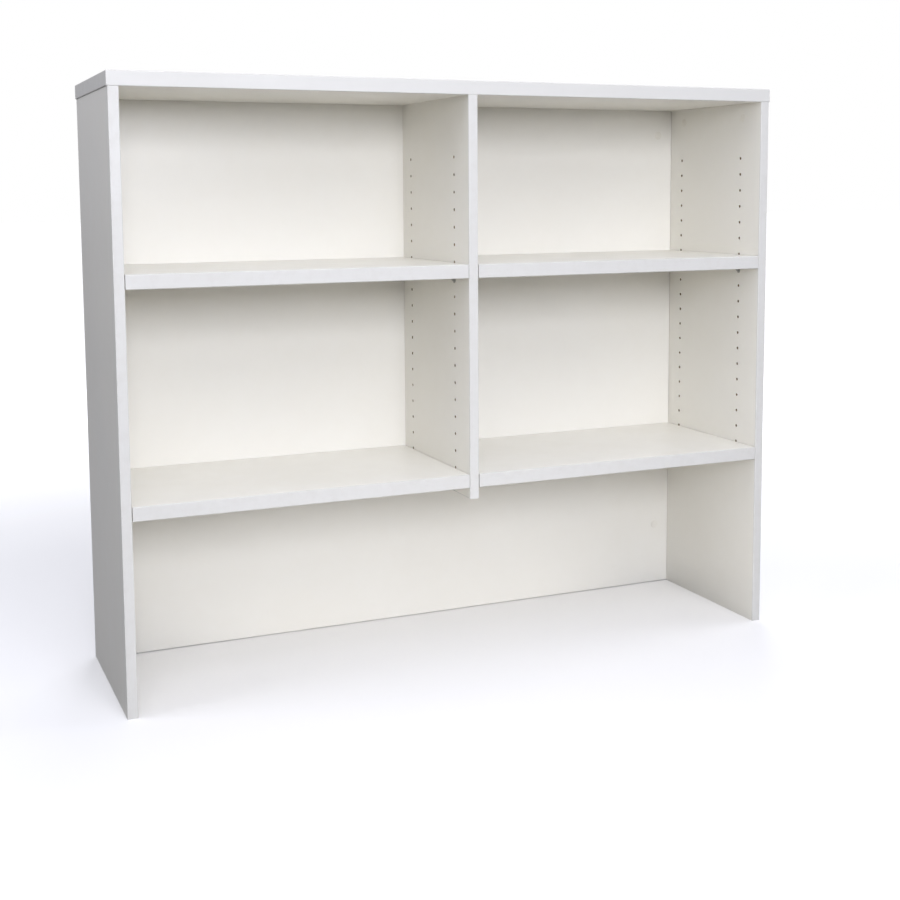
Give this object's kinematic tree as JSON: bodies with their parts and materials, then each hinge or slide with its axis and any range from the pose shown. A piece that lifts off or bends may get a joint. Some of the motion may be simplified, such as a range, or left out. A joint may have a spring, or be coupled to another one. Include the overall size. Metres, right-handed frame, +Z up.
{
  "type": "desk hutch",
  "caption": "Open two-bay hutch in white melamine board that stands on a desk, with a hanging centre divider and loose shelves on pins over a full-width open space.",
  "frame": {"origin": "centre of the footprint, on the desk surface that the side panels stand on", "axes": "+X to the right seen from the open front, +Y towards the back panel, +Z up"},
  "size_m": [1.28, 0.34, 1.07],
  "materials": {
    "melamine_board": "warm white melamine facing, satin, fine pearl texture",
    "hard_edging": "cool white plastic edging, satin, rounded corners",
    "nickel_pins": "nickel plate on zinc, slightly dull",
    "zinc_cams": "bare zinc casting",
    "steel_bolts": "yellow zinc plate"
  },
  "bodies": {
    "carcass": {"top_panel": "melamine_board", "left_side_panel": "melamine_board", "right_side_panel": "melamine_board", "centre_divider": "melamine_board", "back_panel": "melamine_board", "top_panel_front_edging": "hard_edging", "top_panel_left_end_edging": "hard_edging", "top_panel_right_end_edging": "hard_edging", "left_side_front_edging": "hard_edging", "right_side_front_edging": "hard_edging", "divider_front_edging": "hard_edging", "divider_bottom_edging": "hard_edging", "pin_upper_left_outer_front": "nickel_pins", "pin_upper_left_outer_rear": "nickel_pins", "pin_upper_left_inner_front": "nickel_pins", "pin_upper_left_inner_rear": "nickel_pins", "pin_upper_right_outer_front": "nickel_pins", "pin_upper_right_outer_rear": "nickel_pins", "pin_upper_right_inner_front": "nickel_pins", "pin_upper_right_inner_rear": "nickel_pins", "pin_lower_left_outer_front": "nickel_pins", "pin_lower_left_outer_rear": "nickel_pins", "pin_lower_left_inner_front": "nickel_pins", "pin_lower_left_inner_rear": "nickel_pins", "pin_lower_right_outer_front": "nickel_pins", "pin_lower_right_outer_rear": "nickel_pins", "pin_lower_right_inner_front": "nickel_pins", "pin_lower_right_inner_rear": "nickel_pins", "left_top_front_cam": "zinc_cams", "left_top_rear_cam": "zinc_cams", "right_top_front_cam": "zinc_cams", "right_top_rear_cam": "zinc_cams", "left_back_lower_cam": "zinc_cams", "left_back_upper_cam": "zinc_cams", "right_back_lower_cam": "zinc_cams", "right_back_upper_cam": "zinc_cams", "divider_top_front_cam": "zinc_cams", "divider_top_rear_cam": "zinc_cams", "left_top_front_bolt": "steel_bolts", "left_top_rear_bolt": "steel_bolts", "right_top_front_bolt": "steel_bolts", "right_top_rear_bolt": "steel_bolts", "left_back_lower_bolt": "steel_bolts", "left_back_upper_bolt": "steel_bolts", "right_back_lower_bolt": "steel_bolts", "right_back_upper_bolt": "steel_bolts", "divider_top_front_bolt": "steel_bolts", "divider_top_rear_bolt": "steel_bolts", "divider_screw_1": "steel_bolts", "divider_screw_2": "steel_bolts", "divider_screw_3": "steel_bolts", "divider_screw_4": "steel_bolts"},
    "upper_left_shelf": {"upper_left_shelf": "melamine_board", "upper_left_shelf_edging": "hard_edging"},
    "upper_right_shelf": {"upper_right_shelf": "melamine_board", "upper_right_shelf_edging": "hard_edging"},
    "lower_left_shelf": {"lower_left_shelf": "melamine_board", "lower_left_shelf_edging": "hard_edging"},
    "lower_right_shelf": {"lower_right_shelf": "melamine_board", "lower_right_shelf_edging": "hard_edging"}
  },
  "joints": [
    {"name": "upper_left_shelf_pull_out", "type": "slide", "parent": "carcass", "child": "upper_left_shelf", "axis": [0, -1, 0], "range_m": [0, 0.345]},
    {"name": "upper_right_shelf_pull_out", "type": "slide", "parent": "carcass", "child": "upper_right_shelf", "axis": [0, -1, 0], "range_m": [0, 0.345]},
    {"name": "lower_left_shelf_pull_out", "type": "slide", "parent": "carcass", "child": "lower_left_shelf", "axis": [0, -1, 0], "range_m": [0, 0.345]},
    {"name": "lower_right_shelf_pull_out", "type": "slide", "parent": "carcass", "child": "lower_right_shelf", "axis": [0, -1, 0], "range_m": [0, 0.345]}
  ]
}
